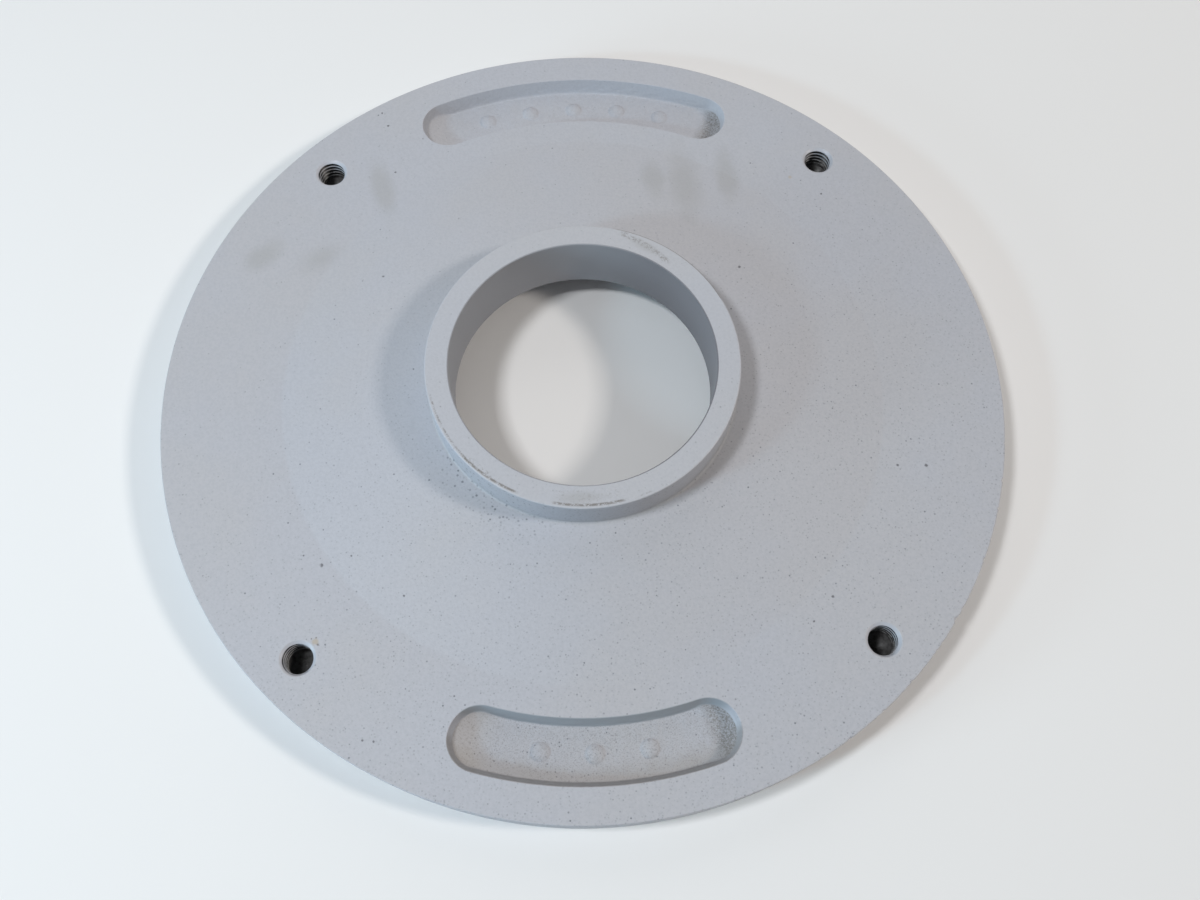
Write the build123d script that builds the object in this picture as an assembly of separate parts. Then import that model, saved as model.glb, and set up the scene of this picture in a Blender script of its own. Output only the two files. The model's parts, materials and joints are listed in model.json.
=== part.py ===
from build123d import *
import math
import os

# Wear plate of a centrifugal pump casing: one casting, machined, painted grey.
# Millimetres. Z is the bore axis, the collar points up, and the land of the
# wear face lies at z = 0. The long pocket is on the +Y side.

# Plate
plate_radius = 165.9
rim_thickness = 15.9
edge_break = 0.5

# Back face: a flat ring outside, then a shallow cone up to the collar
back_ring_width = 47.3
cone_angle = 6.6

# Wear face: a narrow flat land at the rim, then a cone parallel to the back's
wear_land_width = 8.7

# Bore and collar
bore_radius = 50.8
collar_wall = 9.0
collar_height = 15.3
collar_edge_break = 0.6
foot_fillet = 1.2

# Four blind tapped holes, 1/2-13, drilled to the minor diameter
hole_count = 4
hole_inset = 16.675
first_hole_angle = 45.0
thread_minor_radius = 5.4
countersink_radius = 6.7
hole_floor = 1.6
drill_point_angle = 118.0

# Two arc-shaped pockets, concentric with the rim, one on each side of the bore
pocket_rim_web = 12.95
pocket_width = 22.9
pocket_depth = 6.5
pocket_side_run = 1.9
pocket_end_run = 8.0
pocket_shoulder_depth = 4.2
pocket_floor_fillet = 1.0
long_pocket_half_angle = 23.0
short_pocket_half_angle = 16.5

# Plain domes cast on the pocket floors, evenly spaced along each pocket
dome_radius = 3.6
dome_height = 1.1
dome_pitch = 19.5
long_pocket_dome_count = 5
short_pocket_dome_count = 3

# Cutters run this far past the face they open
cutter_overrun = 1.0

# The direction of +Y in plan, in degrees from +X
quarter_turn = 90.0

# Places that follow from the sizes above
cone_slope = math.tan(math.radians(cone_angle))
back_cone_radius = plate_radius - back_ring_width
wear_cone_radius = plate_radius - wear_land_width
collar_radius = bore_radius + collar_wall
foot_height = rim_thickness + (back_cone_radius - collar_radius) * cone_slope
overall_height = foot_height + collar_height
hole_circle_radius = plate_radius - hole_inset
pocket_radius = plate_radius - pocket_rim_web - pocket_width / 2


def wear_face_height(radius):
    """Height of the dished wear face at a radius inside its land."""
    return (wear_cone_radius - radius) * cone_slope


def turned_body():
    """Plate, cone, collar and bore, turned from one half section."""
    bore_base = wear_face_height(bore_radius + edge_break)
    section = Polyline(
        (bore_radius, bore_base + edge_break),
        (bore_radius + edge_break, bore_base),
        (wear_cone_radius, 0),
        (plate_radius - edge_break, 0),
        (plate_radius, edge_break),
        (plate_radius, rim_thickness - edge_break),
        (plate_radius - edge_break, rim_thickness),
        (back_cone_radius, rim_thickness),
        (collar_radius, foot_height),
        (collar_radius, overall_height - collar_edge_break),
        (collar_radius - collar_edge_break, overall_height),
        (bore_radius + edge_break, overall_height),
        (bore_radius, overall_height - edge_break),
        close=True,
    )
    half_section = make_face(Plane.XZ * section)
    body = revolve(half_section, Axis.Z)
    foot = body.edges().filter_by(GeomType.CIRCLE).sort_by(
        lambda edge: abs(edge.radius - collar_radius) + abs(edge.center().Z - foot_height)
    )[0]
    return fillet(foot, foot_fillet)


def pocket_outline(height, width, half_angle):
    """Arc-shaped outline with round ends, centred on +Y."""
    outer = pocket_radius + width / 2
    inner = pocket_radius - width / 2
    middle = quarter_turn

    def at(radius, angle):
        turn = math.radians(angle)
        return Vector(radius * math.cos(turn), radius * math.sin(turn), height)

    left = middle + half_angle
    right = middle - half_angle
    left_tip = at(pocket_radius, left) + at(width / 2, left + quarter_turn) - Vector(0, 0, height)
    right_tip = at(pocket_radius, right) + at(width / 2, right - quarter_turn) - Vector(0, 0, height)
    edges = [
        ThreePointArc(at(outer, right), at(outer, middle), at(outer, left)),
        ThreePointArc(at(outer, left), left_tip, at(inner, left)),
        ThreePointArc(at(inner, left), at(inner, middle), at(inner, right)),
        ThreePointArc(at(inner, right), right_tip, at(outer, right)),
    ]
    return make_face(edges)


def pocket_cutter(half_angle):
    """Pocket with drafted walls; below the shoulder its ends run out in gentle ramps."""
    shoulder_run = pocket_side_run * pocket_shoulder_depth / pocket_depth
    ramp_turn = math.degrees((pocket_end_run - pocket_side_run) / pocket_radius)
    floor = pocket_outline(
        rim_thickness - pocket_depth,
        pocket_width - 2 * pocket_side_run,
        half_angle - ramp_turn,
    )
    shoulder = pocket_outline(
        rim_thickness - pocket_shoulder_depth,
        pocket_width - 2 * shoulder_run,
        half_angle,
    )
    mouth = pocket_outline(rim_thickness, pocket_width, half_angle)
    well = loft([floor, shoulder, mouth], ruled=True)
    well = fillet(well.faces().sort_by(Axis.Z)[0].edges(), pocket_floor_fillet)
    throat = extrude(mouth, cutter_overrun)
    return well + throat


def dome():
    """Low round button, a slice of a sphere, standing on z = 0."""
    sphere_radius = (dome_radius**2 + dome_height**2) / (2 * dome_height)
    ball = Pos(0, 0, dome_height - sphere_radius) * Sphere(sphere_radius)
    root = pocket_floor_fillet
    keep = Pos(0, 0, (dome_height - root) / 2) * Cylinder(dome_radius, dome_height + root)
    cap = ball & keep
    return cap


def pocket_domes(count):
    """Domes along the middle of a pocket on the +Y side."""
    step = math.degrees(dome_pitch / pocket_radius)
    first = quarter_turn - step * (count - 1) / 2
    floor_height = rim_thickness - pocket_depth
    places = [
        Rot(0, 0, first + step * index) * Pos(pocket_radius, 0, floor_height)
        for index in range(count)
    ]
    return [place * dome() for place in places]


def tapped_hole_cutter():
    """Blind hole at the minor diameter, with its countersink and drill point."""
    skin_height = wear_face_height(hole_circle_radius) + hole_floor
    point_length = thread_minor_radius / math.tan(math.radians(drill_point_angle / 2))
    countersink_depth = countersink_radius - thread_minor_radius
    section = Polyline(
        (0, skin_height),
        (thread_minor_radius, skin_height + point_length),
        (thread_minor_radius, rim_thickness - countersink_depth),
        (countersink_radius, rim_thickness),
        (countersink_radius, rim_thickness + cutter_overrun),
        (0, rim_thickness + cutter_overrun),
        close=True,
    )
    return revolve(make_face(Plane.XZ * section), Axis.Z)


def wear_plate():
    """The finished casting."""
    body = turned_body()
    pockets = (
        (0, long_pocket_half_angle, long_pocket_dome_count),
        (2 * quarter_turn, short_pocket_half_angle, short_pocket_dome_count),
    )
    for turn, half_angle, dome_count in pockets:
        body -= Rot(0, 0, turn) * pocket_cutter(half_angle)
        for one_dome in pocket_domes(dome_count):
            body += Rot(0, 0, turn) * one_dome
    hole = tapped_hole_cutter()
    for index in range(hole_count):
        angle = first_hole_angle + 360 / hole_count * index
        body -= Rot(0, 0, angle) * Pos(hole_circle_radius, 0, 0) * hole
    return body


def main():
    os.makedirs("parts", exist_ok=True)
    plate = wear_plate()
    plate.label = "wear_plate"
    export_step(plate, "parts/wear_plate.step")
    print("collar radius", round(collar_radius, 3), "foot height", round(foot_height, 3))
    print("overall height", round(overall_height, 3), "volume", round(plate.volume, 1))
    print("wear face at the bore", round(wear_face_height(bore_radius), 3))


main()
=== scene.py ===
import json
import math
import bmesh
import bpy
import numpy as np
from mathutils import Matrix, Vector, noise
from mathutils.geometry import delaunay_2d_cdt


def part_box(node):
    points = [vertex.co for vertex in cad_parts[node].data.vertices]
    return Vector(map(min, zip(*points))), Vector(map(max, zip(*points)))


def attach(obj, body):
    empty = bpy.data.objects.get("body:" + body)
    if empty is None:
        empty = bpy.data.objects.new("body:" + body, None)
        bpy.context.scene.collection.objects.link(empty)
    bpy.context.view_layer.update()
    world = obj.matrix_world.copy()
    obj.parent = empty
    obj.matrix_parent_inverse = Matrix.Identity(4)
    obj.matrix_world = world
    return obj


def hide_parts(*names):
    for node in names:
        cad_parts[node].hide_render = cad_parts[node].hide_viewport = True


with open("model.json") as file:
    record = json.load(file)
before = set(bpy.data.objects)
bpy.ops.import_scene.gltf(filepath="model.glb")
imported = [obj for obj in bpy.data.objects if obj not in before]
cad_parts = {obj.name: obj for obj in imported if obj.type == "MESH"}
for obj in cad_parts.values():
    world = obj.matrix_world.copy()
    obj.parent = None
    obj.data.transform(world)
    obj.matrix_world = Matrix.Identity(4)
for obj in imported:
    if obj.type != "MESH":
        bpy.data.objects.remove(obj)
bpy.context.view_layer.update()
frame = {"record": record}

# Sizes below are millimetres in the plate's own frame
MM = 0.001
MOUNTS = {mount["name"]: mount for mount in frame["record"]["mounts"]}
box_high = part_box("wear_plate")[1]

# Plate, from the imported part
plate_radius = box_high.x / MM
overall_height = box_high.z / MM
bore_radius = MOUNTS["suction_eye"]["dims"]["r_mm"]
collar_radius = MOUNTS["collar"]["dims"]["r_mm"]
rim_thickness = MOUNTS["back_ring"]["pos_m"][2] / MM
hole_circle_radius = MOUNTS["stud_holes"]["dims"]["pcd_mm"] / 2
hole_count = MOUNTS["stud_holes"]["dims"]["count"]
minor_radius = MOUNTS["stud_holes"]["dims"]["hole_r_mm"]

# Faces
edge_round = 0.5
collar_round = 0.6
foot_round = 1.2
back_cone_radius = 118.6
back_cone_blend = 0.8
wear_cone_radius = 157.2
cone_slope = math.tan(math.radians(6.6))
turning_pitch = 0.6

# Pockets: the middle of the long one is at +Y
pocket_radius = 141.5
pocket_half_width = 11.45
pocket_depth = 6.5
pocket_side_run = 1.9
pocket_end_run = 8.0
pocket_shoulder_depth = 4.2
pocket_mouth_round = 0.28
pocket_floor_round = 0.8
pocket_ramp_curve = 1.5
long_half_angle = 23.0
short_half_angle = 16.5
floor_grid = 0.62
floor_margin = 0.35

# Wavy lower part of the pocket walls: height, where it starts as a share of the depth, and lumps for
# each millimetre along and down
wall_wave = 0.16
wall_wave_start = 0.375
wall_wave_lumps = 0.5
wall_wave_rows = 0.6

# Domes on the pocket floors
dome_radius = 3.6
dome_height = 1.1
dome_pitch = 19.5
dome_curve = 0.7
dome_clearance = 0.5
long_dome_count = 5
short_dome_count = 3

# Tapped holes, 1/2-13. The countersink widens by countersink_spread for each unit of depth
first_hole_angle = 45.0
countersink_radius = 6.7
countersink_edge = 0.1
countersink_spread = 1.7
major_radius = 6.35
thread_pitch = 25.4 / 13
thread_flat = 0.12
thread_runout_start = 0.6
thread_runout = 1.2

# Plain wall and drill point: the cone bends at a share of its radius and height
hole_shoulder = 5.77
hole_tip = 2.52
drill_wall = 0.3
drill_bend_radius = 0.55
drill_bend_height = 0.45
drill_flat_radius = 0.35
drill_flat_height = 0.2

# Radius of the round floor
floor_reach = 1400.0

# Segments round the rim, the bore, a tapped hole, a pocket's end and a dome
RIM_STEPS = 1440
BORE_STEPS = 480
HOLE_STEPS = 60
CAP_STEPS = 26
DOME_STEPS = 40

# Segments for each degree of a pocket's side and for each pitch of the thread
SIDE_STEPS_PER_DEGREE = 4.4
PITCH_ROWS = 12

# Rings of points on a dome, as shares of its radius
DOME_RINGS = (0.0, 0.22, 0.44, 0.64, 0.8, 0.92, 1.0)

# Points that agree to this many decimals of a millimetre are one point
JOIN_PLACES = 5

# Places in plan that are nearer than this are one corner of a sheet
SHEET_GAP = 1e-7

# Cast skin: height, lumps per millimetre and layer of the noise
CAST_SKIN = [(0.16, 0.16, 1.7), (0.1, 0.55, 5.3), (0.06, 1.3, 9.1)]

# Gravel on the ramp at the rough side of a pocket, as above
RAMP_GRAVEL = [(0.42, 0.95, 21.0), (0.21, 2.0, 4.0)]
ramp_skin_gain = 0.6
gravel_lead = 0.5
gravel_rise = 2.0

# Nicks in the upper rim edge: angle in degrees, width and depth
RIM_NICKS = [
    (-36.6, 2.6, 0.9), (-34.9, 1.2, 0.5), (-46.7, 1.6, 0.5), (-15.9, 2.0, 0.4), (-20.0, 1.4, 0.4),
    (-27.5, 1.5, 0.3), (-52.0, 1.2, 0.4), (-57.5, 1.8, 0.3), (-41.5, 1.3, 0.3), (-10.5, 1.4, 0.3),
]

# Light wear of the same edge: middle and spread in degrees, depth, lumps per degree, contrast and seed
rim_wear_middle = -42.0
rim_wear_spread = 26.0
rim_wear_depth = 0.22
rim_wear_lumps = 1.9
rim_wear_contrast = 2.2
rim_wear_seed = 3.1

# Wear fades out this far below the back face, and lowers the edge by this share of its depth
rim_wear_reach = 1.6
rim_wear_sink = 0.35


def wear_face_height(radius):
    """Height of the dished wear face inside its land."""
    return (wear_cone_radius - radius) * cone_slope


def back_face_height(radius):
    """Height of the back face: flat outside, coned inside."""
    return rim_thickness + max(back_cone_radius - radius, 0) * cone_slope


def limited(value, low=0.0, high=1.0):
    """The value, kept between two limits."""
    return min(max(value, low), high)


def lumps(x, y, layer):
    """Soft noise from about -1 to 1."""
    return noise.noise(Vector((x, y, layer)))


class Skin:
    """Points and faces of the plate, with the finish of each face."""

    def __init__(self):
        self.points = []
        self.faces = []
        self.finishes = []

    def add(self, points, faces, finish):
        """Points and faces of one finish."""
        start = len(self.points)
        self.points.extend(points)
        self.faces.extend([tuple(start + i for i in face) for face in faces])
        self.finishes.extend([finish] * len(faces))

    def loops(self, loops, finish):
        """Quads between loops that have the same number of points."""
        count = len(loops[0])
        points = [tuple(point) for loop in loops for point in loop]
        faces = []
        for row in range(len(loops) - 1):
            upper = row * count
            lower = upper + count
            for i in range(count):
                j = (i + 1) % count
                faces.append((upper + i, upper + j, lower + j, lower + i))
        self.add(points, faces, finish)

    def turned(self, profile, finish):
        """A profile of radius and height, turned round the bore axis."""
        self.loops([ring(radius, height, BORE_STEPS) for radius, height in profile], finish)

    def sheet(self, outline, holes, inside, finish):
        """Triangles across an outline, round its holes, through the points inside."""
        points = [tuple(point) for loop in [outline, *holes] for point in loop]
        edges = []
        start = 0
        for loop in [outline, *holes]:
            count = len(loop)
            edges.extend([(start + i, start + (i + 1) % count) for i in range(count)])
            start += count
        points.extend([tuple(point) for point in inside])
        plan = np.array(points)[:, :2]
        flat = [Vector(place) for place in plan]
        _, _, corners, origins, _, _ = delaunay_2d_cdt(flat, edges, [], 0, SHEET_GAP, True)
        triangles = [tuple(origins[i][0] for i in face) for face in corners]
        middles = plan[np.array(triangles)].mean(axis=1)
        keep = inside_loop(middles, outline)
        for hole in holes:
            keep &= ~inside_loop(middles, hole)
        self.add(points, [face for face, kept in zip(triangles, keep) if kept], finish)


def inside_loop(places, loop):
    """Which places in plan lie inside a closed loop."""
    corners = np.array([(point[0], point[1]) for point in loop])
    following = np.roll(corners, -1, axis=0)
    inside = np.zeros(len(places), bool)
    for (x0, y0), (x1, y1) in zip(corners, following):
        crosses = (y0 > places[:, 1]) != (y1 > places[:, 1])
        if y1 != y0:
            at = x0 + (places[:, 1] - y0) * (x1 - x0) / (y1 - y0)
            inside ^= crosses & (places[:, 0] < at)
    return inside


def on_circle(radius, turn):
    """Place in plan at a radius and an angle in radians."""
    return radius * math.cos(turn), radius * math.sin(turn)


def arc(centre, radius, start, end, steps):
    """Places in plan along an arc, its end left out."""
    turns = start + (end - start) * np.arange(steps) / steps
    return np.column_stack([centre[0] + radius * np.cos(turns), centre[1] + radius * np.sin(turns)])


def at_height(plan, height):
    """Points at one height over places in plan."""
    return np.column_stack([plan, np.full(len(plan), height)])


def ring(radius, height, steps, centre=(0.0, 0.0)):
    """Level loop of points round a centre."""
    return at_height(arc(centre, radius, 0.0, 2 * math.pi, steps), height)


def rounded(start, corner, end, steps):
    """Points on a soft corner from start to end, both included."""
    points = []
    for i in range(steps + 1):
        t = i / steps
        points.append(tuple(
            (1 - t) ** 2 * a + 2 * t * (1 - t) * b + t**2 * c for a, b, c in zip(start, corner, end)
        ))
    return points


def between(start, end, steps):
    """Points on a straight line from start to end, both left out."""
    return [tuple(a + (b - a) * i / steps for a, b in zip(start, end)) for i in range(1, steps)]


def degrees_from(turns, angle):
    """Signed angles from one direction to others, in degrees."""
    return (turns - angle + 180) % 360 - 180


def rim_wear():
    """How far the upper rim edge is worn in at each step round the rim."""
    turns = np.arange(RIM_STEPS) * 360.0 / RIM_STEPS
    depth = np.zeros(RIM_STEPS)
    for angle, width, deep in RIM_NICKS:
        along = np.radians(degrees_from(turns, angle)) * plate_radius
        depth = np.maximum(depth, deep * np.clip(1 - (2 * along / width) ** 2, 0, 1))
    spread = degrees_from(turns, rim_wear_middle) / rim_wear_spread
    rough = np.array([lumps(angle * rim_wear_lumps, rim_wear_seed, 0.0) for angle in turns])
    return depth + rim_wear_depth * np.exp(-spread**2) * np.clip(rough * rim_wear_contrast, 0, 1)


def rim_loops():
    """Loops down the rim, from the back face to the land."""
    upper_start = (plate_radius - edge_round, rim_thickness)
    upper_end = (plate_radius, rim_thickness - edge_round)
    lower_start = (plate_radius, edge_round)
    profile = rounded(upper_start, (plate_radius, rim_thickness), upper_end, steps=5)
    profile += between(upper_end, lower_start, steps=6)
    profile += rounded(lower_start, (plate_radius, 0), (plate_radius - edge_round, 0), steps=3)
    worn = rim_wear()
    loops = []
    for radius, height in profile:
        loop = ring(radius, height, RIM_STEPS)
        below = rim_thickness - height
        share = max(0.0, 1 - below / rim_wear_reach)
        loop[:, :2] *= (1 - worn * share / radius)[:, None]
        if below > 0:
            loop[:, 2] -= worn * rim_wear_sink * share
        loops.append(loop)
    return loops


def pocket_loop(half_angle, offset, depth):
    """Closed arc-shaped loop round +Y. Below the shoulder the ends run out in ramps."""
    run = pocket_side_run * depth / pocket_depth
    low = max(depth - pocket_shoulder_depth, 0) / (pocket_depth - pocket_shoulder_depth)
    ramp = (pocket_end_run - pocket_side_run) * low**pocket_ramp_curve
    half_width = pocket_half_width - run + offset
    half_turn = math.radians(half_angle) - ramp / pocket_radius
    right = math.pi / 2 - half_turn
    left = math.pi / 2 + half_turn
    side_steps = int(half_angle * SIDE_STEPS_PER_DEGREE)
    plan = np.vstack([
        arc((0, 0), pocket_radius + half_width, right, left, side_steps),
        arc(on_circle(pocket_radius, left), half_width, left, left + math.pi, CAP_STEPS),
        arc((0, 0), pocket_radius - half_width, left, right, side_steps),
        arc(on_circle(pocket_radius, right), half_width, right + math.pi, right + 2 * math.pi, CAP_STEPS),
    ])
    return at_height(plan, rim_thickness - depth)


def pocket_rows():
    """Offset and depth of the loops down to the shoulder, and from there to the floor's edge."""
    near = (0, pocket_mouth_round)
    shoulder = (0, pocket_shoulder_depth)
    far = (0, pocket_depth - pocket_floor_round)
    upper = rounded((pocket_mouth_round, 0), (0, 0), near, steps=4)
    upper += between(near, shoulder, steps=5) + [shoulder]
    lower = [shoulder] + between(shoulder, far, steps=5)
    lower += rounded(far, (0, pocket_depth), (-pocket_floor_round, pocket_depth), steps=4)
    return upper, lower


def pocket_loops(rows, half_angle, rough_side):
    """Loops of a pocket's wall, a little wavy below, as cast."""
    loops = []
    for offset, depth in rows:
        loop = pocket_loop(half_angle, offset, depth)
        share = limited((depth / pocket_depth - wall_wave_start) / (1 - wall_wave_start))
        swell = wall_wave * 4 * share * (1 - share)
        for point in loop:
            x, y = point[0], point[1]
            wave = swell * lumps(x * wall_wave_lumps, y * wall_wave_lumps, depth * wall_wave_rows)
            point[:2] += wave * point[:2] / math.hypot(x, y)
            point[2] += share * floor_height(x, y, half_angle, rough_side)
        loops.append(loop)
    return loops


def rough_height(x, y, layers):
    """Height of layered noise at a place in plan."""
    return sum(height * lumps(x * per_mm, y * per_mm, layer) for height, per_mm, layer in layers)


def floor_height(x, y, half_angle, rough_side):
    """Height above the flat floor, without the domes: gravelly on the ramp of the rough side."""
    turn = math.degrees(math.atan2(x, y)) * rough_side
    gravel = limited((turn - half_angle + gravel_lead) / gravel_rise)
    skin = rough_height(x, y, CAST_SKIN) * (1 + ramp_skin_gain * gravel)
    return skin + gravel * rough_height(x, y, RAMP_GRAVEL)


def floor_plan(half_angle, border, domes):
    """A close grid of places on a pocket floor, inside its border and clear of the domes."""
    turns = np.arange(-half_angle, half_angle, math.degrees(floor_grid / pocket_radius))
    radii = np.arange(pocket_radius - pocket_half_width, pocket_radius + pocket_half_width, floor_grid)
    swings = math.pi / 2 + np.radians(turns)
    plan = np.array([on_circle(radius, swing) for radius in radii for swing in swings])
    plan = plan[inside_loop(plan, border)]
    for x, y in domes:
        plan = plan[np.hypot(plan[:, 0] - x, plan[:, 1] - y) > dome_radius + dome_clearance]
    return plan


def dome_points(x, y):
    """Places in plan on rings round a dome's middle, with the dome's height at each."""
    points = []
    for share in DOME_RINGS:
        spots = DOME_STEPS if share else 1
        rise = dome_height * (1 - share**2) ** dome_curve
        points += [(px, py, rise) for px, py in arc((x, y), share * dome_radius, 0.0, 2 * math.pi, spots)]
    return points


def floor_points(half_angle, dome_count, border, rough_side):
    """Points on a pocket floor and its domes."""
    step = dome_pitch / pocket_radius
    middle = (dome_count - 1) / 2
    domes = [on_circle(pocket_radius, math.pi / 2 + step * (i - middle)) for i in range(dome_count)]
    places = [(x, y, 0.0) for x, y in floor_plan(half_angle, border, domes)]
    for x, y in domes:
        places += dome_points(x, y)
    level = rim_thickness - pocket_depth
    return [(x, y, level + floor_height(x, y, half_angle, rough_side) + rise) for x, y, rise in places]


def add_pocket(skin, half_angle, dome_count, turn, rough_side):
    """Walls and floor of one pocket. Returns its mouth loop."""
    upper, lower = [pocket_loops(rows, half_angle, rough_side) for rows in pocket_rows()]
    border = pocket_loop(half_angle, -pocket_floor_round - floor_margin, pocket_depth)
    inside = np.array(floor_points(half_angle, dome_count, border, rough_side))
    spin = np.array([[math.cos(turn), math.sin(turn), 0], [-math.sin(turn), math.cos(turn), 0], [0, 0, 1]])
    upper = [loop @ spin for loop in upper]
    lower = [loop @ spin for loop in lower]
    skin.loops(upper, "pocket_wall")
    skin.loops(lower, "pocket_floor")
    skin.sheet(lower[-1], [], inside @ spin, "pocket_floor")
    return upper[0]


def thread_radius(turn, height):
    """Radius of the tapped wall at a height in the hole."""
    cone = countersink_radius - (rim_thickness - height) * countersink_spread
    phase = (height / thread_pitch - turn / (2 * math.pi)) % 1.0
    flank = abs(phase - 0.5) * 2
    groove = limited((flank - thread_flat) / (1 - 2 * thread_flat))
    cut = limited((height - hole_shoulder - thread_runout_start) / thread_runout)
    return max(cone, minor_radius + (major_radius - minor_radius) * groove * cut)


def countersink_loops(centre, top):
    """Loops from the back face down to the top of the thread."""
    edge_end = (countersink_radius - countersink_edge, rim_thickness - countersink_edge / countersink_spread)
    profile = rounded(
        (countersink_radius + countersink_edge, rim_thickness), (countersink_radius, rim_thickness),
        edge_end, steps=3)
    profile += between(edge_end, (major_radius, top), steps=2) + [(major_radius, top)]
    return [ring(radius, height, HOLE_STEPS, centre) for radius, height in profile]


def thread_mesh(centre, base, top):
    """Points and faces of the tapped wall, in rows that climb one pitch in each turn."""
    rows = int((top - base) / thread_pitch * PITCH_ROWS) + 2 * PITCH_ROWS
    points = []
    for row in range(rows + 1):
        for i in range(HOLE_STEPS + 1):
            swing = i * 2 * math.pi / HOLE_STEPS
            climb = (row - PITCH_ROWS) / PITCH_ROWS + i / HOLE_STEPS
            height = limited(base + climb * thread_pitch, base, top)
            x, y = on_circle(thread_radius(swing, height), swing)
            points.append((centre[0] + x, centre[1] + y, height))
    width = HOLE_STEPS + 1
    faces = []
    for row in range(rows):
        for i in range(HOLE_STEPS):
            corner = row * width + i
            faces.append((corner, corner + 1, corner + width + 1, corner + width))
    return points, faces


def drill_loops(centre, base):
    """Loops of the plain wall below the thread and of the drill point, down to its small flat."""
    profile = [
        (minor_radius, base),
        (minor_radius, hole_shoulder),
        (minor_radius * drill_bend_radius, hole_tip + drill_bend_height * (hole_shoulder - hole_tip)),
        (drill_flat_radius, hole_tip + drill_flat_height),
    ]
    return [ring(radius, height, HOLE_STEPS, centre) for radius, height in profile]


def add_tapped_hole(skin, angle):
    """Countersink, thread and drill point of one hole. Returns its mouth loop."""
    centre = on_circle(hole_circle_radius, math.radians(angle))
    top = rim_thickness - (countersink_radius - major_radius) / countersink_spread
    base = hole_shoulder + drill_wall
    mouth = countersink_loops(centre, top)
    skin.loops(mouth, "countersink")
    points, faces = thread_mesh(centre, base, top)
    skin.add(points, faces, "thread")
    drill = drill_loops(centre, base)
    skin.loops(drill, "thread")
    skin.add([tuple(point) for point in drill[-1]], [tuple(range(HOLE_STEPS))], "thread")
    return mouth[0]


def add_back(skin, holes, rim_top):
    """Flat ring, cone, foot of the collar, collar and its top."""
    cone_start = (back_cone_radius - back_cone_blend, back_face_height(back_cone_radius - back_cone_blend))
    foot_start = (collar_radius + foot_round, back_face_height(collar_radius + foot_round))
    foot = (collar_radius, back_face_height(collar_radius))
    foot_end = (collar_radius, foot[1] + foot_round)
    collar_end = (collar_radius, overall_height - collar_round)
    profile = rounded(
        (back_cone_radius + back_cone_blend, rim_thickness), (back_cone_radius, rim_thickness),
        cone_start, steps=4)
    profile += between(cone_start, foot_start, steps=10)
    profile += rounded(foot_start, foot, foot_end, steps=7)
    profile += between(foot_end, collar_end, steps=5) + [collar_end]
    skin.turned(profile, "face")
    skin.sheet(rim_top, [ring(*profile[0], BORE_STEPS), *holes], [], "face")
    top_start = (collar_radius - collar_round, overall_height)
    top_end = (bore_radius + edge_round, overall_height)
    top = rounded(collar_end, (collar_radius, overall_height), top_start, steps=5)
    top += between(top_start, top_end, steps=4) + [top_end]
    skin.turned(top, "collar_top")


def add_bore(skin):
    """Bore wall with its two rounded edges."""
    base = wear_face_height(bore_radius + edge_round)
    start = (bore_radius + edge_round, overall_height)
    upper = (bore_radius, overall_height - edge_round)
    lower = (bore_radius, base + edge_round)
    profile = rounded(start, (bore_radius, overall_height), upper, steps=5)
    profile += between(upper, lower, steps=8)
    profile += rounded(lower, (bore_radius, base), (bore_radius + edge_round, base), steps=4)
    skin.turned(profile, "bore")


def add_wear_face(skin, rim_base):
    """Land at the rim and the dished face inside it."""
    outer = (wear_cone_radius, 0)
    inner = (bore_radius + edge_round, wear_face_height(bore_radius + edge_round))
    skin.sheet(rim_base, [ring(*outer, BORE_STEPS)], [], "wear_face")
    skin.turned([outer, *between(outer, inner, steps=10), inner], "wear_face")


def joined(skin):
    """One index for each point, so that parts that meet share their points."""
    grid = np.round(np.array(skin.points), JOIN_PLACES)
    unique, index = np.unique(grid, axis=0, return_inverse=True)
    index = index.reshape(-1)
    faces = []
    finishes = []
    for face, finish in zip(skin.faces, skin.finishes):
        corners = []
        for i in face:
            if int(index[i]) not in corners:
                corners.append(int(index[i]))
        if len(corners) > 2:
            faces.append(corners)
            finishes.append(finish)
    return unique, faces, finishes


def close_mesh(mesh):
    """Turns all faces outwards and prints how many edges are left open."""
    work = bmesh.new()
    work.from_mesh(mesh)
    bmesh.ops.recalc_face_normals(work, faces=work.faces)
    open_edges = sum(1 for edge in work.edges if len(edge.link_faces) != 2)
    work.to_mesh(mesh)
    work.free()
    print("plate faces", len(mesh.polygons), "open edges", open_edges)


def soft_normals(mesh):
    """Point normals weighted by face area, so that flat faces shade flat to their edges."""
    mesh.calc_loop_triangles()
    count = len(mesh.vertices)
    places = np.zeros(count * 3)
    mesh.vertices.foreach_get("co", places)
    places = places.reshape(-1, 3)
    corners = np.zeros(len(mesh.loop_triangles) * 3, int)
    mesh.loop_triangles.foreach_get("vertices", corners)
    corners = corners.reshape(-1, 3)
    first, second, third = (places[corners[:, i]] for i in range(3))
    area = np.cross(second - first, third - first)
    total = np.zeros((count, 3))
    for i in range(3):
        np.add.at(total, corners[:, i], area)
    length = np.linalg.norm(total, axis=1)
    total /= np.maximum(length, np.finfo(float).tiny)[:, None]
    mesh.normals_split_custom_set_from_vertices([tuple(normal) for normal in total])


def plate_skin():
    """All faces of the plate."""
    skin = Skin()
    mouths = [
        add_pocket(skin, long_half_angle, long_dome_count, turn=0.0, rough_side=1),
        add_pocket(skin, short_half_angle, short_dome_count, turn=math.pi, rough_side=-1),
    ]
    for i in range(hole_count):
        mouths.append(add_tapped_hole(skin, first_hole_angle + 360 / hole_count * i))
    rim = rim_loops()
    skin.loops(rim, "face")
    add_back(skin, mouths, rim[0])
    add_bore(skin)
    add_wear_face(skin, rim[-1])
    return skin


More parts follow.
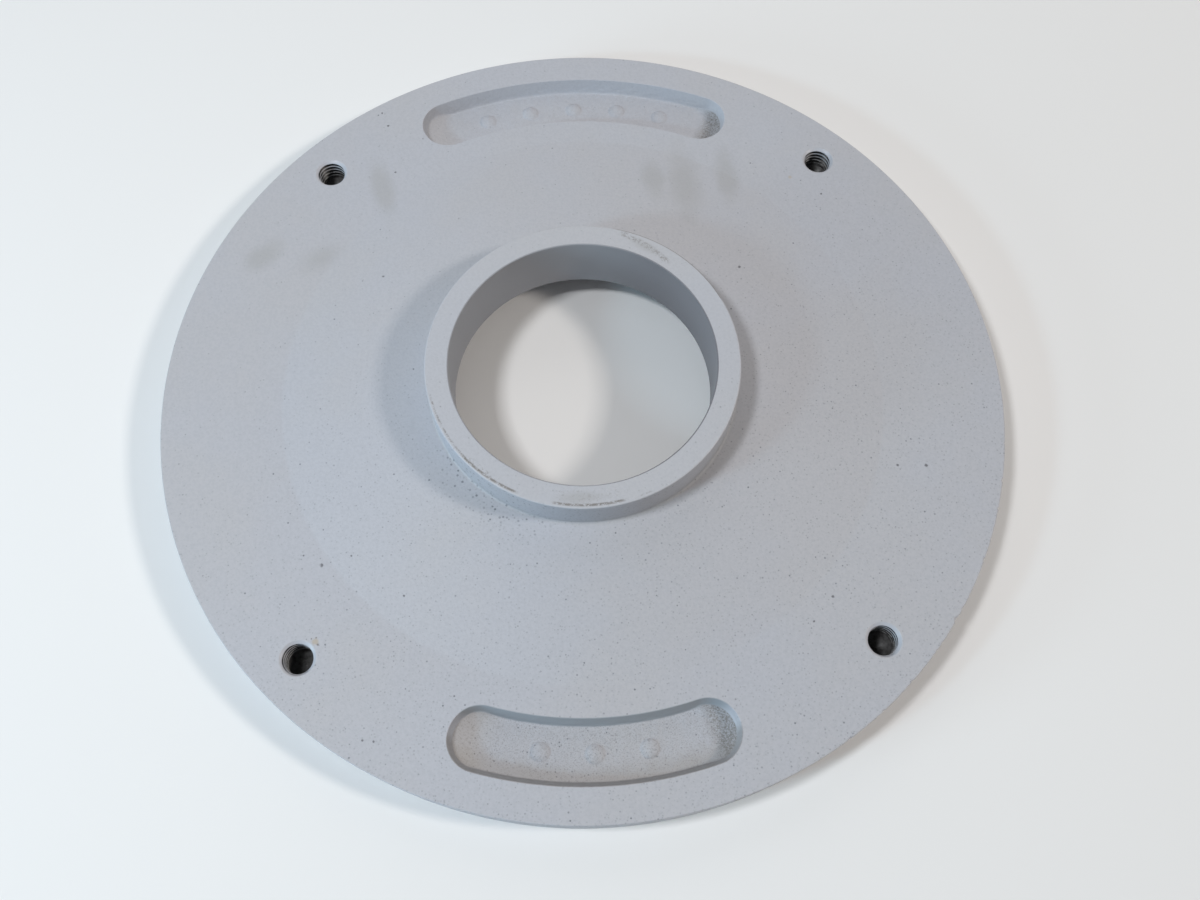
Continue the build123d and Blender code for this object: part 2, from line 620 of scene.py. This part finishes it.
def plate_object(materials):
    """The visible plate: one closed skin."""
    points, faces, finishes = joined(plate_skin())
    mesh = bpy.data.meshes.new("painted_plate")
    mesh.from_pydata((points * MM).tolist(), [], faces)
    names = list(materials)
    for name in names:
        mesh.materials.append(materials[name])
    mesh.polygons.foreach_set("material_index", [names.index(finish) for finish in finishes])
    mesh.polygons.foreach_set("use_smooth", [True] * len(faces))
    close_mesh(mesh)
    soft_normals(mesh)
    plate = bpy.data.objects.new("painted_plate", mesh)
    bpy.context.scene.collection.objects.link(plate)
    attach(plate, "root")
    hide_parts("wear_plate")


# Paint and what lies on it
PAINT = (0.448, 0.460, 0.503)
PAINT_WARM = (0.452, 0.456, 0.484)
PAINT_SHADE = (0.35, 0.362, 0.40)
PAINT_PALE = (0.50, 0.515, 0.545)
# Smudges, and the painted shade at the collar's foot
SMUDGE_AND_SHADE = (0.35, 0.35, 0.355)
SPECK = (0.15, 0.16, 0.18)
DARK_MARK = (0.09, 0.09, 0.1)
# Grime, also used for the painted shade line at the collar's far edge
GRIME_AND_SHADE = (0.17, 0.155, 0.14)
TAN = (0.42, 0.36, 0.28)
# Bore wall: paint darkened with painted shade, and deeper painted shade for its +X side
BORE_SHADED_PAINT = (0.285, 0.293, 0.318)
BORE_PAINTED_SHADE = (0.14, 0.135, 0.148)

# Pocket walls and floors
WALL_DARK_BROWN = (0.2, 0.185, 0.17)
WALL_SHADE = (0.31, 0.34, 0.37)
SAND = (0.3, 0.29, 0.28)
PIT = (0.16, 0.155, 0.15)
BROWN_DUST = (0.29, 0.265, 0.24)

# Tapped walls
OIL = (0.007, 0.007, 0.008)
OLD_OIL = (0.03, 0.027, 0.026)
BARE = (0.4, 0.41, 0.42)

# Floor and backdrop
FLOOR = (0.8, 0.8, 0.8)
BACKDROP = (0.85, 0.85, 0.85)

# Smudges on the back face: middle, half sizes, turn in degrees and softness
SMUDGES = [
    ((-83.0, 96.0), (7.0, 22.0), 14.0, 0.6), ((-132.0, 64.0), (8.0, 14.0), -40.0, 0.6),
    ((33.0, 97.0), (7.0, 15.0), 6.0, 0.5), ((47.0, 95.0), (10.0, 26.0), 4.0, 0.6),
    ((65.0, 97.0), (7.0, 20.0), 2.0, 0.5), ((-108.0, 62.0), (14.0, 8.0), 30.0, 0.9),
]

# Small dark marks on the back face: place and radius
MARKS = [
    (66.0, 50.0, 0.7), (37.2, 50.8, 0.4), (-55.9, 8.9, 0.5), (-85.0, 137.0, 0.5), (-82.0, 130.0, 0.6),
    (-78.0, 105.0, 0.6), (-80.5, 51.0, 0.6), (-99.0, -71.0, 0.8), (-88.0, -68.0, 0.5), (-68.0, -84.0, 0.5),
    (105.0, 88.0, 0.5), (76.0, 105.0, 0.4), (89.0, -89.0, 0.6), (81.0, -98.0, 0.5), (120.0, -38.0, 0.6),
    (131.0, -38.5, 0.7), (-81.0, -135.0, 0.5), (-77.0, -135.5, 0.5),
]

# A paint flake with its chips beside one hole, and a tan mark, as above
FLAKE = (-99.6, -99.6, 1.4)
FLAKE_CHIPS = [(-98.6, -100.8, 0.5), (-101.0, -98.6, 0.35), (-99.4, -98.2, 0.4)]
TAN_MARK = (92.5, 97.0, 0.9)

# Scuffs on the collar's top, and a painted shade line at its far edge: start and end as angle and radius,
# half width, how broken, strength
SCUFFS_AND_SHADE_LINE = [
    ((-166.0, 58.6), (-136.0, 58.5), 0.5, 0.46, 0.8),
    ((-140.0, 58.7), (-116.0, 58.5), 0.7, 0.4, 1.0),
    ((-138.0, 57.6), (-124.0, 57.6), 1.5, 0.54, 0.7),
    ((-102.0, 58.4), (-77.0, 58.4), 0.75, 0.4, 1.0),
    ((-102.0, 55.2), (-78.0, 55.2), 3.6, 0.54, 0.45),
    ((-72.0, 58.6), (-58.0, 58.7), 0.5, 0.52, 0.6),
    ((50.0, 54.2), (73.0, 58.2), 1.7, 0.47, 0.75),
    # Painted shade line along the collar's far outer edge, where its shadow begins
    ((24.0, 59.6), (76.0, 59.6), 0.4, 0.2, 0.8),
]
STREAK_FADE = 1.5

# Soiled patches on the collar's top, as the smudges
COLLAR_SOIL = [((-2.0, -55.5), (13.0, 3.4), 0.0, 0.6), ((26.0, 49.0), (9.0, 3.0), -32.0, 0.8)]


class Wiring:
    """Short hands for the nodes of one material. Places x, y, z and plan are in millimetres."""

    def __init__(self, name):
        self.material = bpy.data.materials.new(name)
        self.material.use_nodes = True
        self.tree = self.material.node_tree
        self.tree.nodes.clear()
        self.surface = self.node("ShaderNodeBsdfPrincipled")
        output = self.node("ShaderNodeOutputMaterial")
        self.link(self.surface.outputs["BSDF"], output.inputs["Surface"])
        self.place = self.node("ShaderNodeTexCoord").outputs["Object"]
        self.plan = self.vector("MULTIPLY", self.place, (1 / MM, 1 / MM, 0.0))
        self.x, self.y, self.z = self.parts(self.vector("MULTIPLY", self.place, (1 / MM, 1 / MM, 1 / MM)))

    def node(self, kind, **settings):
        """A new node with its settings."""
        made = self.tree.nodes.new(kind)
        for key, value in settings.items():
            setattr(made, key, value)
        return made

    def link(self, output, socket):
        """Joins an output to a socket."""
        self.tree.links.new(output, socket)

    def put(self, value, socket):
        """Links an output to a socket, or writes a value on it."""
        if isinstance(value, bpy.types.NodeSocket):
            self.link(value, socket)
        else:
            socket.default_value = value

    def math(self, operation, first, second=0.0, third=0.0):
        """Any operation on numbers."""
        made = self.node("ShaderNodeMath", operation=operation)
        for value, socket in zip((first, second, third), made.inputs):
            self.put(value, socket)
        return made.outputs[0]

    def vector(self, operation, first, second=(0.0, 0.0, 0.0)):
        """Any operation on vectors that gives a vector."""
        made = self.node("ShaderNodeVectorMath", operation=operation)
        self.put(first, made.inputs[0])
        self.put(second, made.inputs[1])
        return made.outputs["Vector"]

    def parts(self, value):
        """The three numbers of a vector."""
        made = self.node("ShaderNodeSeparateXYZ")
        self.link(value, made.inputs[0])
        return made.outputs

    def times(self, *values):
        """Product of all the values."""
        result = values[0]
        for value in values[1:]:
            result = self.math("MULTIPLY", result, value)
        return result

    def linear(self, value, slope, start):
        """The value times slope, plus start."""
        return self.math("MULTIPLY_ADD", value, slope, start)

    def largest(self, values):
        """The largest of all the values."""
        result = values[0]
        for value in values[1:]:
            result = self.math("MAXIMUM", result, value)
        return result

    def window(self, value, start, end):
        """0 at start and 1 at end, soft between. Start may be the higher one."""
        made = self.node("ShaderNodeMapRange", interpolation_type="SMOOTHSTEP")
        self.put(value, made.inputs["Value"])
        made.inputs["From Min"].default_value = min(start, end)
        made.inputs["From Max"].default_value = max(start, end)
        made.inputs["To Min"].default_value = 0.0 if start < end else 1.0
        made.inputs["To Max"].default_value = 1.0 if start < end else 0.0
        return made.outputs["Result"]

    def noise(self, per_metre, detail=3.0, rough=0.5):
        """Cloudy noise from about 0.2 to 0.8."""
        made = self.node("ShaderNodeTexNoise")
        self.link(self.place, made.inputs["Vector"])
        made.inputs["Scale"].default_value = per_metre
        made.inputs["Detail"].default_value = detail
        made.inputs["Roughness"].default_value = rough
        return made.outputs[0]

    def spots(self, per_metre, size, share, seed):
        """Round specks: size is a share of a cell, and share is how many of the cells have one."""
        shifted = self.vector("ADD", self.place, (seed, seed * 0.37, seed * 0.11))
        cells = self.node("ShaderNodeTexVoronoi")
        self.link(shifted, cells.inputs["Vector"])
        cells.inputs["Scale"].default_value = per_metre
        pick = self.node("ShaderNodeSeparateColor")
        self.link(cells.outputs["Color"], pick.inputs[0])
        near = self.window(cells.outputs["Distance"], size, size * 0.5)
        chosen = self.math("LESS_THAN", pick.outputs[0], share)
        return self.times(near, chosen, pick.outputs[1])

    def distance(self, x, y, plan=None):
        """Distance in plan from a place."""
        made = self.node("ShaderNodeVectorMath", operation="DISTANCE")
        self.link(plan or self.plan, made.inputs[0])
        made.inputs[1].default_value = (x, y, 0.0)
        return made.outputs["Value"]

    def far(self):
        """Distance from the bore axis."""
        return self.distance(0.0, 0.0)

    def angle(self):
        """Angle round the bore axis in degrees, from +X."""
        return self.times(self.math("ARCTAN2", self.y, self.x), 180 / math.pi)

    def hole_distance(self):
        """Distance from the axis of the nearest tapped hole."""
        side = hole_circle_radius * math.sqrt(0.5)
        return self.distance(side, side, self.vector("ABSOLUTE", self.plan))

    def upward(self):
        """How far the surface faces up: 1 if level, 0 if upright."""
        return self.parts(self.node("ShaderNodeNewGeometry").outputs["Normal"])[2]

    def mark(self, x, y, radius):
        """One small round mark with a broken edge."""
        rough = self.times(self.noise(1400.0, detail=1.0), radius)
        edge = self.math("ADD", self.distance(x, y), rough)
        return self.window(edge, radius * 1.7, radius * 0.9)

    def smudge(self, centre, size, turn, softness):
        """Soft oval patch: 1 in its middle, with a broken edge."""
        oval = self.node("ShaderNodeMapping", vector_type="TEXTURE")
        self.link(self.plan, oval.inputs["Vector"])
        oval.inputs["Location"].default_value = (*centre, 0.0)
        oval.inputs["Rotation"].default_value = (0.0, 0.0, math.radians(turn))
        oval.inputs["Scale"].default_value = (*size, 1.0)
        rough = self.times(self.noise(90.0), 0.7)
        edge = self.math("ADD", self.distance(0.0, 0.0, oval.outputs[0]), rough)
        return self.window(edge, 1.35, 1.05 - 0.9 * softness)

    def dark_streak(self, start, end, width, cover, strength):
        """Broken streak on the collar's top between two places, each an angle and a radius."""
        angle = self.angle()
        lean = (end[1] - start[1]) / (end[0] - start[0])
        middle = self.linear(self.math("SUBTRACT", angle, start[0]), lean, start[1])
        side = self.math("ABSOLUTE", self.math("SUBTRACT", self.far(), middle))
        across = self.window(side, width, width * 0.3)
        first = self.window(angle, start[0] - STREAK_FADE, start[0] + STREAK_FADE)
        last = self.window(angle, end[0] + STREAK_FADE, end[0] - STREAK_FADE)
        rough = self.window(self.noise(1300.0, detail=4.0, rough=0.75), cover, cover + 0.1)
        return self.times(across, first, last, rough, strength)

    def mixed(self, factor, first, second):
        """From the first colour to the second as the factor goes from 0 to 1."""
        made = self.node("ShaderNodeMix", data_type="RGBA")
        self.put(factor, made.inputs[0])
        for value, socket in ((first, made.inputs[6]), (second, made.inputs[7])):
            self.put((*value, 1.0) if isinstance(value, tuple) else value, socket)
        return made.outputs[2]

    def over(self, colour, coat, *amounts):
        """The colour under a coat that covers it by the product of the amounts."""
        return self.mixed(self.times(*amounts), colour, coat)

    def bump(self, height, strength, depth):
        """Fine relief in the shading, with its depth in millimetres."""
        made = self.node("ShaderNodeBump")
        made.inputs["Strength"].default_value = strength
        made.inputs["Distance"].default_value = depth * MM
        self.link(height, made.inputs["Height"])
        self.link(made.outputs[0], self.surface.inputs["Normal"])

    def finish(self, colour, roughness, specular):
        """The finished material."""
        self.put(colour, self.surface.inputs["Base Color"])
        self.surface.inputs["Roughness"].default_value = roughness
        self.surface.inputs["Specular IOR Level"].default_value = specular
        return self.material


def speckled(w, colour, dense):
    """Fine, broad and dusty specks, closer on the lower half."""
    slant = w.math("SUBTRACT", w.y, w.times(w.x, 0.5))
    share = w.times(w.linear(w.window(slant, 100.0, -100.0), 0.8, 0.1), dense)
    fine = w.times(w.spots(560.0, size=0.22, share=share, seed=0.3), 0.55)
    broad = w.times(w.spots(300.0, size=0.14, share=w.times(share, 0.5), seed=1.1), 0.9)
    dust = w.times(w.spots(820.0, size=0.32, share=share, seed=2.3), 0.3)
    return w.over(colour, SPECK, w.largest([fine, broad, dust]))


def painted(name, dense, relief=None):
    """Grey paint with cloudy tone, grain and specks; dense is how closely the specks lie.

    Relief, where there is one, is the strength and the depth of the grain's bump.
    """
    w = Wiring(name)
    cloud = w.window(w.noise(14.0, detail=4.0, rough=0.55), 0.35, 0.65)
    grain = w.window(w.noise(900.0, detail=3.0, rough=0.6), 0.35, 0.7)
    colour = w.over(w.mixed(cloud, PAINT, PAINT_WARM), PAINT_SHADE, grain, 0.3)
    if relief:
        w.bump(grain, *relief)
    return w, speckled(w, colour, dense)


def foot_crease_shade(w, far):
    """Painted shade in the corner at the collar's foot."""
    foot_height = back_face_height(collar_radius)
    beside = w.window(far, collar_radius + 1.8, collar_radius + 0.4)
    return w.times(beside, w.window(w.z, foot_height + 3.3, foot_height + 0.8))


def spray_dust(w, far):
    """Dusty specks beside the collar, where the paint was sprayed dry."""
    angle = w.angle()
    beside = w.window(far, collar_radius + 14.2, collar_radius + 4.2)
    past_start = w.window(angle, -158.0, -145.0)
    before_end = w.window(angle, -98.0, -112.0)
    return w.times(w.spots(700.0, size=0.42, share=0.5, seed=4.7), beside, past_start, before_end)


def worn_rim(w, far):
    """Where the paint is worn off the lower half of the rim's edge."""
    edge = w.window(far, plate_radius - 2.7, plate_radius - 0.7)
    broken = w.window(w.noise(900.0, detail=3.0, rough=0.7), 0.6, 0.72)
    return w.times(edge, broken, w.window(w.y, 20.0, -30.0))


def face_finish():
    """Back face and rim: paint with smudges, marks, a few stains and painted shade at the collar's foot."""
    w, colour = painted("face_paint", dense=1.0, relief=(0.3, 0.06))
    far = w.far()
    colour = w.over(colour, SMUDGE_AND_SHADE, w.largest([w.smudge(*patch) for patch in SMUDGES]), 0.5)
    # Painted shade in the corner at the collar's foot
    colour = w.over(colour, SMUDGE_AND_SHADE, foot_crease_shade(w, far), 0.35)
    colour = w.over(colour, SPECK, spray_dust(w, far), 0.9)
    colour = w.over(colour, TAN, w.mark(*FLAKE), 0.7)
    colour = w.over(colour, GRIME_AND_SHADE, w.largest([w.mark(*chip) for chip in FLAKE_CHIPS]), 0.8)
    colour = w.over(colour, TAN, w.mark(*TAN_MARK), 0.6)
    colour = w.over(colour, DARK_MARK, w.largest([w.mark(*mark) for mark in MARKS]), 0.8)
    colour = w.over(colour, SPECK, worn_rim(w, far), 0.6)
    return w.finish(colour, roughness=0.55, specular=0.35)


def collar_top_finish():
    """Top of the collar: lighter paint, scuffed and soiled, with a painted shade line at its far edge."""
    w, colour = painted("collar_top_paint", dense=0.3, relief=(0.3, 0.06))
    colour = w.over(colour, PAINT_PALE, 0.2)
    # Scuffs, and the painted shade line at the far edge
    colour = w.over(colour, GRIME_AND_SHADE, w.largest([w.dark_streak(*dark_streak) for dark_streak in SCUFFS_AND_SHADE_LINE]), 0.8)
    colour = w.over(colour, SMUDGE_AND_SHADE, w.largest([w.smudge(*patch) for patch in COLLAR_SOIL]), 0.5)
    return w.finish(colour, roughness=0.5, specular=0.4)


def bore_finish():
    """Bore wall: smooth paint darkened with painted shade, darkest on the +X side."""
    w, colour = painted("bore_paint", dense=0.4, relief=(0.15, 0.04))
    # Painted shade: the bore wall is darkened, most on its +X side
    smooth = w.mixed(w.window(w.x, 0.0, 35.0), BORE_SHADED_PAINT, BORE_PAINTED_SHADE)
    return w.finish(w.over(colour, smooth, 0.85), roughness=0.45, specular=0.4)


def wall_tone(w, colour):
    """Paint of a pocket wall: in the short pocket the inner wall is darker and the outer darker and browner.
    """
    far = w.far()
    short = w.window(w.y, 0.0, -1.0)
    inner = w.window(far, pocket_radius - 4.0, pocket_radius - 8.0)
    outer = w.window(far, pocket_radius, pocket_radius + 4.0)
    cloud = w.linear(w.noise(600.0, detail=3.0, rough=0.6), 0.5, 0.3)
    colour = w.over(colour, WALL_SHADE, short, inner, 0.8)
    # The short pocket's outer wall is made darker and browner
    return w.over(colour, WALL_DARK_BROWN, short, outer, cloud)


def pocket_wall_finish():
    """Pocket walls: smooth blue-grey paint over the cast draft."""
    w, colour = painted("pocket_wall_paint", dense=0.3)
    w.bump(w.noise(480.0, detail=4.0, rough=0.65), strength=0.5, depth=0.25)
    return w.finish(wall_tone(w, colour), roughness=0.5, specular=0.4)


def sandy_floor(w, colour, short):
    """Pits, grit and brown dust, thicker in the short pocket."""
    colour = w.over(colour, SAND, short, 0.06)
    pits = w.window(w.noise(1800.0, detail=4.0, rough=0.8), 0.5, 0.68)
    colour = w.over(colour, PIT, pits, w.linear(short, 0.5, 0.12))
    grit = w.spots(700.0, size=0.27, share=w.times(short, 0.4), seed=3.1)
    colour = w.over(colour, SPECK, grit, 0.9)
    edge = w.math("ADD", w.far(), w.times(w.noise(160.0, detail=3.0, rough=0.6), 6.0))
    dusty = w.window(edge, pocket_radius + 4.0, pocket_radius + 12.0)
    return w.over(colour, BROWN_DUST, dusty, short, 0.4)


def ramp_dirt(w, colour, short):
    """Dirt on the ramps at the +X ends of both pockets, and a warm tint at the other ends."""
    turn = w.math("ARCTAN2", w.math("ABSOLUTE", w.x), w.math("ABSOLUTE", w.y))
    ramp_start = w.linear(short, short_half_angle - long_half_angle, long_half_angle)
    past = w.math("SUBTRACT", w.times(turn, 180 / math.pi), ramp_start)
    broken = w.linear(w.window(w.noise(1500.0, detail=4.0, rough=0.75), 0.4, 0.62), 0.6, 0.25)
    colour = w.over(colour, GRIME_AND_SHADE, w.window(w.x, -1.0, 1.0), w.window(past, -0.5, 2.0), broken)
    warmth = w.linear(short, 0.12, 0.1)
    return w.over(colour, TAN, w.window(w.x, 1.0, -1.0), w.window(past, -3.3, 2.2), warmth)


def pocket_floor_finish():
    """Pocket floors: paint over cast skin, sandy in the short pocket, with dirt at the ends."""
    w, clean = painted("pocket_floor_paint", dense=0.4)
    short = w.window(w.y, 20.0, -20.0)
    colour = ramp_dirt(w, sandy_floor(w, clean, short), short)
    steep = w.window(w.upward(), 0.8, 0.5)
    colour = w.over(colour, wall_tone(w, clean), steep)
    w.bump(w.noise(900.0, detail=4.0, rough=0.75), strength=0.6, depth=0.15)
    return w.finish(colour, roughness=0.62, specular=0.3)


def countersink_finish():
    """Countersinks: paint over the cut cone."""
    w, colour = painted("countersink_paint", dense=0.2, relief=(0.2, 0.05))
    return w.finish(w.over(colour, PAINT_PALE, 0.2), roughness=0.45, specular=0.5)


def thread_finish():
    """Tapped walls: paint on the first turns, then bare crests over oily dark roots."""
    w = Wiring("thread_metal")
    crest = w.window(w.hole_distance(), minor_radius + 0.35, minor_radius + 0.05)
    cloud = w.window(w.noise(500.0, detail=3.0, rough=0.6), 0.2, 0.7)
    metal = w.mixed(w.times(crest, cloud), OIL, BARE)
    height = w.math("ADD", w.z, w.times(w.noise(350.0, detail=2.0, rough=0.5), 1.2))
    cover = w.window(height, rim_thickness - 1.3, rim_thickness - 0.3)
    on_crests = w.times(w.window(height, rim_thickness - 7.0, rim_thickness - 1.5), crest, 0.95)
    colour = w.over(metal, PAINT, w.largest([cover, on_crests]))
    deep = w.window(w.z, hole_shoulder + 2.2, hole_shoulder + 0.4)
    w.bump(w.noise(2500.0, detail=2.0, rough=0.5), strength=0.2, depth=0.03)
    return w.finish(w.over(colour, OLD_OIL, deep, 0.8), roughness=0.4, specular=0.35)


def wear_face_finish():
    """Wear face: turned, then painted."""
    w, colour = painted("wear_face_paint", dense=0.4)
    rings = w.math("SINE", w.times(w.far(), 2 * math.pi / turning_pitch))
    w.bump(rings, strength=0.2, depth=0.03)
    return w.finish(colour, roughness=0.5, specular=0.4)


def floor_material():
    """Plain pale floor."""
    material = bpy.data.materials.new("floor_pale")
    material.use_nodes = True
    tree = material.node_tree
    tree.nodes.clear()
    plain = tree.nodes.new("ShaderNodeBsdfDiffuse")
    plain.inputs["Color"].default_value = (*FLOOR, 1.0)
    output = tree.nodes.new("ShaderNodeOutputMaterial")
    tree.links.new(plain.outputs[0], output.inputs["Surface"])
    return material


def add_floor():
    """Round floor under the plate."""
    mesh = bpy.data.meshes.new("floor")
    disc = ring(floor_reach, 0, RIM_STEPS) * MM
    mesh.from_pydata(disc.tolist(), [], [tuple(range(RIM_STEPS))])
    mesh.materials.append(floor_material())
    floor = bpy.data.objects.new("floor", mesh)
    bpy.context.scene.collection.objects.link(floor)


# Share of the light on a level face that comes evenly from all round
WORLD_SHARE = 0.155

# Lamps: name, share of the light on a level face, distance in metres, direction in plan and height in
# degrees, side in metres and colour
LAMPS = [
    ("right_lamp", 0.26, 2.2, -8.0, 41.0, 0.28, (1.0, 0.93, 0.86)),
    ("main_lamp", 0.38, 1.2, 195.0, 63.0, 0.18, (0.96, 0.98, 1.0)),
    ("left_lamp", 0.11, 1.4, 207.0, 28.4, 0.14, (0.55, 0.82, 1.0)),
    ("low_lamp", 0.065, 1.8, 203.0, 11.0, 0.4, (0.65, 0.86, 1.0)),
    ("back_lamp", 0.12, 1.3, 90.0, 32.0, 1.2, (1.0, 1.0, 1.0)),
]


def add_lamp(name, share, distance, heading, elevation, side, colour):
    """Square soft lamp aimed at the plate."""
    turn = math.radians(heading)
    rise = math.radians(elevation)
    lamp = bpy.data.lights.new(name, "AREA")
    lamp.shape = "SQUARE"
    lamp.size = side
    lamp.color = colour
    lamp.energy = share * math.pi**2 * distance**2 / math.sin(rise)
    light = bpy.data.objects.new(name, lamp)
    away = Vector((math.cos(turn) * math.cos(rise), math.sin(turn) * math.cos(rise), math.sin(rise)))
    light.location = away * distance
    light.rotation_mode = "QUATERNION"
    light.rotation_quaternion = away.to_track_quat("Z", "Y")
    bpy.context.scene.collection.objects.link(light)


def add_world():
    """Even light from all round, with a pale backdrop for the camera."""
    world = bpy.data.worlds.new("studio")
    bpy.context.scene.world = world
    world.use_nodes = True
    tree = world.node_tree
    tree.nodes.clear()
    even = tree.nodes.new("ShaderNodeBackground")
    even.inputs["Color"].default_value = (1.0, 1.0, 1.0, 1.0)
    even.inputs["Strength"].default_value = WORLD_SHARE
    backdrop = tree.nodes.new("ShaderNodeBackground")
    backdrop.inputs["Color"].default_value = (*BACKDROP, 1.0)
    path = tree.nodes.new("ShaderNodeLightPath")
    choose = tree.nodes.new("ShaderNodeMixShader")
    output = tree.nodes.new("ShaderNodeOutputWorld")
    tree.links.new(path.outputs["Is Camera Ray"], choose.inputs[0])
    tree.links.new(even.outputs[0], choose.inputs[1])
    tree.links.new(backdrop.outputs[0], choose.inputs[2])
    tree.links.new(choose.outputs[0], output.inputs["Surface"])


# Camera: place in millimetres, its turns in degrees, then lens, sensor and nearest distance, all in
# millimetres, and the shift of the picture as shares of its width
CAMERA_PLACE = (-4.29, -183.04, 386.61)
CAMERA_HEADING = -1.925
CAMERA_TILT = 21.473
CAMERA_ROLL = 0.089
CAMERA_LENS = 31.148
CAMERA_SENSOR = 36.0
CAMERA_NEAR = 10.0
CAMERA_SHIFT = (0.01047, 0.01882)


def add_camera():
    """Camera above the near edge of the plate, looking steeply down."""
    data = bpy.data.cameras.new("camera")
    data.sensor_width = CAMERA_SENSOR
    data.lens = CAMERA_LENS
    data.shift_x, data.shift_y = CAMERA_SHIFT
    data.clip_start = CAMERA_NEAR * MM
    camera = bpy.data.objects.new("camera", data)
    bpy.context.scene.collection.objects.link(camera)
    heading = Matrix.Rotation(math.radians(CAMERA_HEADING), 4, "Z")
    tilt = Matrix.Rotation(math.radians(CAMERA_TILT), 4, "X")
    roll = Matrix.Rotation(math.radians(CAMERA_ROLL), 4, "Z")
    camera.matrix_world = Matrix.Translation(Vector(CAMERA_PLACE) * MM) @ heading @ tilt @ roll
    bpy.context.scene.camera = camera


plate_object({
    "face": face_finish(),
    "collar_top": collar_top_finish(),
    "bore": bore_finish(),
    "pocket_wall": pocket_wall_finish(),
    "pocket_floor": pocket_floor_finish(),
    "countersink": countersink_finish(),
    "thread": thread_finish(),
    "wear_face": wear_face_finish(),
})
add_floor()
for lamp_row in LAMPS:
    add_lamp(*lamp_row)
add_world()
add_camera()
bpy.context.scene.view_settings.view_transform = "Standard"
bpy.context.view_layer.update()
